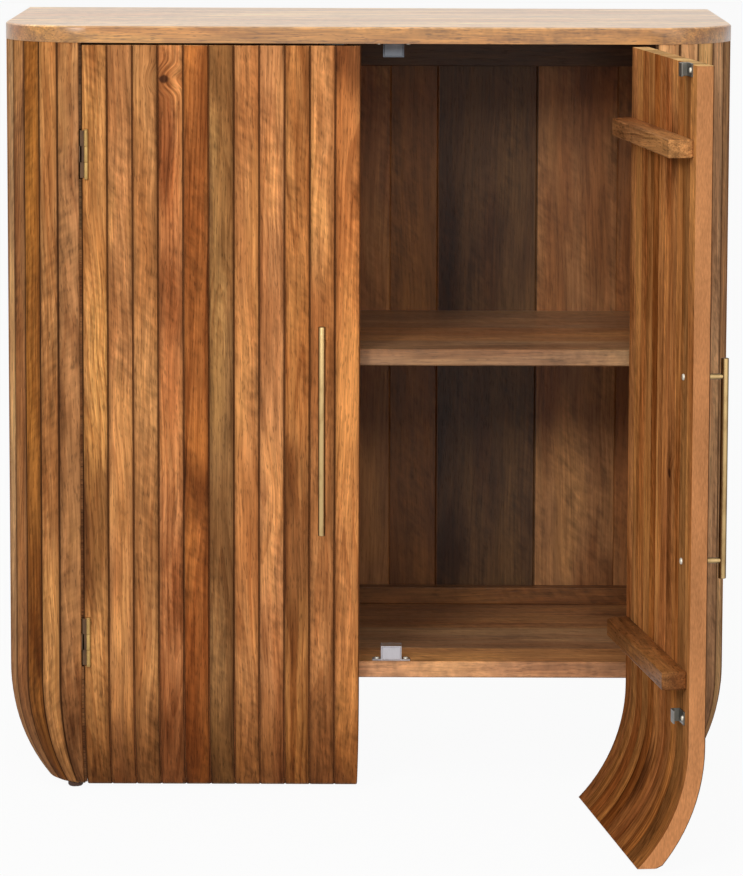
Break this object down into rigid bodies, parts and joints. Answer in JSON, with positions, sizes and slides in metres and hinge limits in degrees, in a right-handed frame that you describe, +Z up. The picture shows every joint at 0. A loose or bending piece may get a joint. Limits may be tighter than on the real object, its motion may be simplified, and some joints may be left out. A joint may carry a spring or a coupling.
{
  "type": "wooden cabinet",
  "caption": "Free-standing wooden cabinet with rounded front corners, coopered slats that curve in at the foot, hinged doors with bar handles, and a shelf.",
  "frame": {"origin": "middle of the floor area that the cabinet covers with its right door open, on the floor", "axes": "+Z up; +X to the right as seen from the front; +Y to the back"},
  "size_m": [0.8, 0.7174, 0.855],
  "materials": {
    "slat_wood": "satin lacquer on upright grain, tone changing from slat to slat",
    "top_wood": "satin lacquer",
    "inner_wood": "satin lacquer on darker boards",
    "brass": "satin, slightly aged",
    "steel": "zinc plated",
    "catch_case": "satin",
    "glide": "matt"
  },
  "bodies": {
    "carcass": {"top_board": "top_wood", "floor_board": "inner_wood", "shelf": "inner_wood", "back_planks": "inner_wood", "back_top_rail": "inner_wood", "back_floor_cleat": "inner_wood", "side_bearers": "inner_wood", "glides": "glide", "catch_cases": "catch_case", "catch_magnets": "steel", "left_corner_slats": "slat_wood", "right_corner_slats": "slat_wood", "left_side_slats": "slat_wood", "right_side_slats": "slat_wood", "hinge_frame_leaves": "brass", "hinge_pins": "brass"},
    "left_door": {"left_door_slat_01": "slat_wood", "left_door_slat_02": "slat_wood", "left_door_slat_03": "slat_wood", "left_door_slat_04": "slat_wood", "left_door_slat_05": "slat_wood", "left_door_slat_06": "slat_wood", "left_door_slat_07": "slat_wood", "left_door_slat_08": "slat_wood", "left_door_slat_09": "slat_wood", "left_door_slat_10": "slat_wood", "left_door_slat_11": "slat_wood", "left_door_upper_batten": "inner_wood", "left_door_lower_batten": "inner_wood", "left_hinge_door_leaves": "brass", "left_handle_bar": "brass", "left_handle_posts": "brass", "left_catch_strikes": "steel"},
    "right_door": {"right_door_slat_01": "slat_wood", "right_door_slat_02": "slat_wood", "right_door_slat_03": "slat_wood", "right_door_slat_04": "slat_wood", "right_door_slat_05": "slat_wood", "right_door_slat_06": "slat_wood", "right_door_slat_07": "slat_wood", "right_door_slat_08": "slat_wood", "right_door_slat_09": "slat_wood", "right_door_slat_10": "slat_wood", "right_door_slat_11": "slat_wood", "right_door_upper_batten": "inner_wood", "right_door_lower_batten": "inner_wood", "right_hinge_door_leaves": "brass", "right_handle_bar": "brass", "right_handle_posts": "brass", "right_catch_strikes": "steel"}
  },
  "joints": [
    {"name": "left_door_hinge", "type": "hinge", "parent": "carcass", "child": "left_door", "pos_m": [-0.306, -0.04275, 0.4185], "axis": [0, 0, -1], "range_deg": [0, 175]},
    {"name": "right_door_hinge", "type": "hinge", "parent": "carcass", "child": "right_door", "pos_m": [0.306, -0.04275, 0.4185], "axis": [0, 0, 1], "range_deg": [-98.3, 76.7]}
  ]
}
